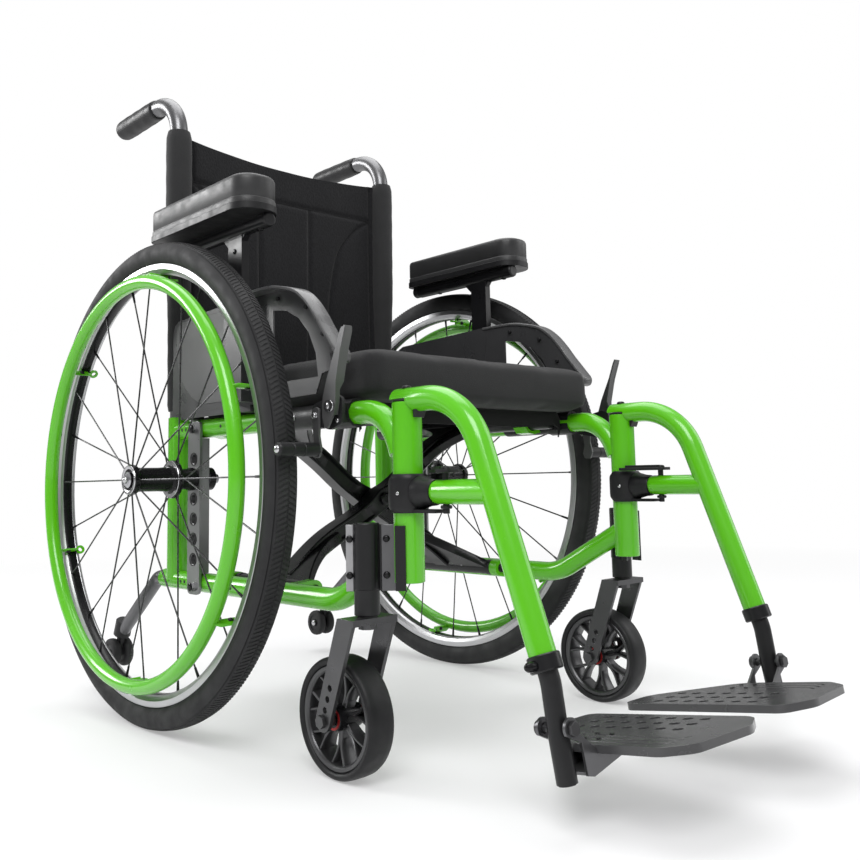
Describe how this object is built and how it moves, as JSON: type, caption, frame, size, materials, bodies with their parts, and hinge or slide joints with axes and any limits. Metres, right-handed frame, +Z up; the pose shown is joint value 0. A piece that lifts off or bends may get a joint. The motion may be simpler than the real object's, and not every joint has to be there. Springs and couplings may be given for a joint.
{
  "type": "folding wheelchair",
  "caption": "Folding self-propelled wheelchair with a cross brace, handrims, swing-away footrests, padded armrests, brakes and anti-tip wheels.",
  "frame": {"origin": "centre of the chair's footprint on the floor, at the bottom of its bounding box", "axes": "+Z up, -Y the way the chair faces, +Y towards its back, -X the chair's right-hand side, +X its left"},
  "size_m": [0.612, 0.9985, 0.8805],
  "materials": {
    "green": "gloss",
    "silver": "satin",
    "anodised": "satin",
    "charcoal": "satin",
    "black": "satin",
    "grey": "matte",
    "tyre": "matte",
    "fabric": "matte"
  },
  "bodies": {
    "right_side": {"side_frame_right": "green", "axle_plate_right": "silver", "axle_right": "silver", "back_cane_right": "silver", "push_grip_right": "black", "caster_housing_right": "charcoal", "side_panel_right": "grey", "brake_clamp_right": "black", "seat_sling": "fabric", "cushion": "fabric", "back_upholstery": "fabric"},
    "arm_b": {"cross_arm_b": "charcoal"},
    "arm_a": {"cross_arm_a": "charcoal", "brace_bolt": "silver"},
    "left_side": {"side_frame_left": "green", "axle_plate_left": "silver", "axle_left": "silver", "back_cane_left": "silver", "push_grip_left": "black", "caster_housing_left": "charcoal", "side_panel_left": "grey", "brake_clamp_left": "black"},
    "wheel_right": {"rear_tyre_right": "tyre", "rear_rim_right": "silver", "wheel_hub_right": "black", "handrim_right": "green"},
    "axle_button_right": {"axle_button_right": "silver"},
    "caster_fork_right": {"caster_fork_right": "anodised", "caster_axle_right": "silver"},
    "caster_right": {"caster_wheel_right": "silver", "caster_tyre_right": "tyre"},
    "armrest_right": {"armrest_post_right": "black", "arm_pad_right": "charcoal"},
    "brake_lever_right": {"brake_lever_right": "anodised"},
    "brake_shoe_right": {"brake_shoe_right": "black"},
    "hanger_right": {"hanger_right": "green"},
    "hanger_latch_right": {"hanger_latch_right": "black"},
    "footrest_right": {"footrest_tube_right": "charcoal"},
    "footplate_right": {"footplate_right": "black"},
    "anti_tip_right": {"anti_tip_tube_right": "silver"},
    "anti_tip_wheel_right": {"anti_tip_wheels_right": "black"},
    "wheel_left": {"rear_tyre_left": "tyre", "rear_rim_left": "silver", "wheel_hub_left": "black", "handrim_left": "green"},
    "axle_button_left": {"axle_button_left": "silver"},
    "caster_fork_left": {"caster_fork_left": "anodised", "caster_axle_left": "silver"},
    "caster_left": {"caster_wheel_left": "silver", "caster_tyre_left": "tyre"},
    "armrest_left": {"armrest_post_left": "black", "arm_pad_left": "charcoal"},
    "brake_lever_left": {"brake_lever_left": "anodised"},
    "brake_shoe_left": {"brake_shoe_left": "black"},
    "hanger_left": {"hanger_left": "green"},
    "hanger_latch_left": {"hanger_latch_left": "black"},
    "footrest_left": {"footrest_tube_left": "charcoal"},
    "footplate_left": {"footplate_left": "black"},
    "anti_tip_left": {"anti_tip_tube_left": "silver"},
    "anti_tip_wheel_left": {"anti_tip_wheels_left": "black"}
  },
  "joints": [
    {"name": "fold", "type": "hinge", "parent": "right_side", "child": "arm_b", "pos_m": [-0.1635, 0.0755, 0.172], "axis": [0, -1, 0], "range_deg": [0, 46.4], "deforming": ["seat_sling", "cushion", "back_upholstery"]},
    {"name": "brace_middle", "type": "hinge", "parent": "arm_b", "child": "arm_a", "pos_m": [0, 0.0755, 0.274], "axis": [0, -1, 0], "range_deg": [-92.8, 0]},
    {"name": "brace_left", "type": "hinge", "parent": "arm_a", "child": "left_side", "pos_m": [0.1635, 0.0755, 0.172], "axis": [0, -1, 0], "range_deg": [0, 46.4]},
    {"name": "wheel_spin_right", "type": "hinge", "parent": "right_side", "child": "wheel_right", "pos_m": [-0.268, 0.1945, 0.305], "axis": [1, 0, 0], "continuous": true},
    {"name": "axle_button_press_right", "type": "slide", "parent": "right_side", "child": "axle_button_right", "axis": [1, 0, 0], "range_m": [0, 0.003], "stiffness_N_per_m": 900},
    {"name": "caster_swivel_right", "type": "hinge", "parent": "right_side", "child": "caster_fork_right", "pos_m": [-0.2207, -0.1773, 0.163], "axis": [0, 0, 1], "continuous": true},
    {"name": "caster_spin_right", "type": "hinge", "parent": "caster_fork_right", "child": "caster_right", "pos_m": [-0.2207, -0.14, 0.0605], "axis": [1, 0, 0], "continuous": true},
    {"name": "armrest_lift_right", "type": "slide", "parent": "right_side", "child": "armrest_right", "axis": [0, 0, 1], "range_m": [0, 0.06]},
    {"name": "brake_right", "type": "hinge", "parent": "right_side", "child": "brake_lever_right", "pos_m": [-0.24, -0.1465, 0.376], "axis": [1, 0, 0], "range_deg": [0, 35]},
    {"name": "brake_shoe_turn_right", "type": "hinge", "parent": "right_side", "child": "brake_shoe_right", "pos_m": [-0.24, -0.1165, 0.368], "axis": [-1, 0, 0], "range_deg": [0, 20]},
    {"name": "hanger_swing_right", "type": "hinge", "parent": "right_side", "child": "hanger_right", "pos_m": [-0.19, -0.208, 0.3795], "axis": [0, 0, -1], "range_deg": [0, 90]},
    {"name": "hanger_release_right", "type": "hinge", "parent": "hanger_right", "child": "hanger_latch_right", "pos_m": [-0.19, -0.2625, 0.286], "axis": [0, 0, -1], "range_deg": [0, 20], "stiffness_Nm_per_rad": 0.4},
    {"name": "footrest_length_right", "type": "slide", "parent": "hanger_right", "child": "footrest_right", "axis": [0, -0.342, -0.9397], "range_m": [0, 0.03]},
    {"name": "footplate_flip_right", "type": "hinge", "parent": "footrest_right", "child": "footplate_right", "pos_m": [-0.19, -0.3889, 0.0867], "axis": [0, -0.989, 0.1478], "range_deg": [0, 88]},
    {"name": "anti_tip_turn_right", "type": "hinge", "parent": "right_side", "child": "anti_tip_right", "pos_m": [-0.19, 0.2985, 0.169], "axis": [0, -1, 0], "range_deg": [0, 180]},
    {"name": "anti_tip_spin_right", "type": "hinge", "parent": "anti_tip_right", "child": "anti_tip_wheel_right", "pos_m": [-0.19, 0.4445, 0.05], "axis": [1, 0, 0], "continuous": true},
    {"name": "wheel_spin_left", "type": "hinge", "parent": "left_side", "child": "wheel_left", "pos_m": [0.268, 0.1945, 0.305], "axis": [1, 0, 0], "continuous": true},
    {"name": "axle_button_press_left", "type": "slide", "parent": "left_side", "child": "axle_button_left", "axis": [-1, 0, 0], "range_m": [0, 0.003], "stiffness_N_per_m": 900},
    {"name": "caster_swivel_left", "type": "hinge", "parent": "left_side", "child": "caster_fork_left", "pos_m": [0.2207, -0.1773, 0.163], "axis": [0, 0, 1], "continuous": true},
    {"name": "caster_spin_left", "type": "hinge", "parent": "caster_fork_left", "child": "caster_left", "pos_m": [0.2207, -0.14, 0.0605], "axis": [1, 0, 0], "continuous": true},
    {"name": "armrest_lift_left", "type": "slide", "parent": "left_side", "child": "armrest_left", "axis": [0, 0, 1], "range_m": [0, 0.06]},
    {"name": "brake_left", "type": "hinge", "parent": "left_side", "child": "brake_lever_left", "pos_m": [0.24, -0.1465, 0.376], "axis": [1, 0, 0], "range_deg": [0, 35]},
    {"name": "brake_shoe_turn_left", "type": "hinge", "parent": "left_side", "child": "brake_shoe_left", "pos_m": [0.24, -0.1165, 0.368], "axis": [-1, 0, 0], "range_deg": [0, 20]},
    {"name": "hanger_swing_left", "type": "hinge", "parent": "left_side", "child": "hanger_left", "pos_m": [0.19, -0.208, 0.3795], "axis": [0, 0, 1], "range_deg": [0, 90]},
    {"name": "hanger_release_left", "type": "hinge", "parent": "hanger_left", "child": "hanger_latch_left", "pos_m": [0.19, -0.2625, 0.286], "axis": [0, 0, 1], "range_deg": [0, 20], "stiffness_Nm_per_rad": 0.4},
    {"name": "footrest_length_left", "type": "slide", "parent": "hanger_left", "child": "footrest_left", "axis": [0, -0.342, -0.9397], "range_m": [0, 0.03]},
    {"name": "footplate_flip_left", "type": "hinge", "parent": "footrest_left", "child": "footplate_left", "pos_m": [0.19, -0.3889, 0.0867], "axis": [0, 0.989, -0.1478], "range_deg": [0, 88]},
    {"name": "anti_tip_turn_left", "type": "hinge", "parent": "left_side", "child": "anti_tip_left", "pos_m": [0.19, 0.2985, 0.169], "axis": [0, 1, 0], "range_deg": [0, 180]},
    {"name": "anti_tip_spin_left", "type": "hinge", "parent": "anti_tip_left", "child": "anti_tip_wheel_left", "pos_m": [0.19, 0.4445, 0.05], "axis": [1, 0, 0], "continuous": true}
  ],
  "couplings": [
    {"joint": "brace_middle", "follows": "fold", "ratio": -2},
    {"joint": "brace_left", "follows": "fold", "ratio": 1},
    {"joint": "brake_shoe_turn_right", "follows": "brake_right", "ratio": 0.57143},
    {"joint": "footplate_flip_right", "follows": "fold", "ratio": 1.8965},
    {"joint": "brake_shoe_turn_left", "follows": "brake_left", "ratio": 0.57143},
    {"joint": "footplate_flip_left", "follows": "fold", "ratio": 1.8965}
  ]
}
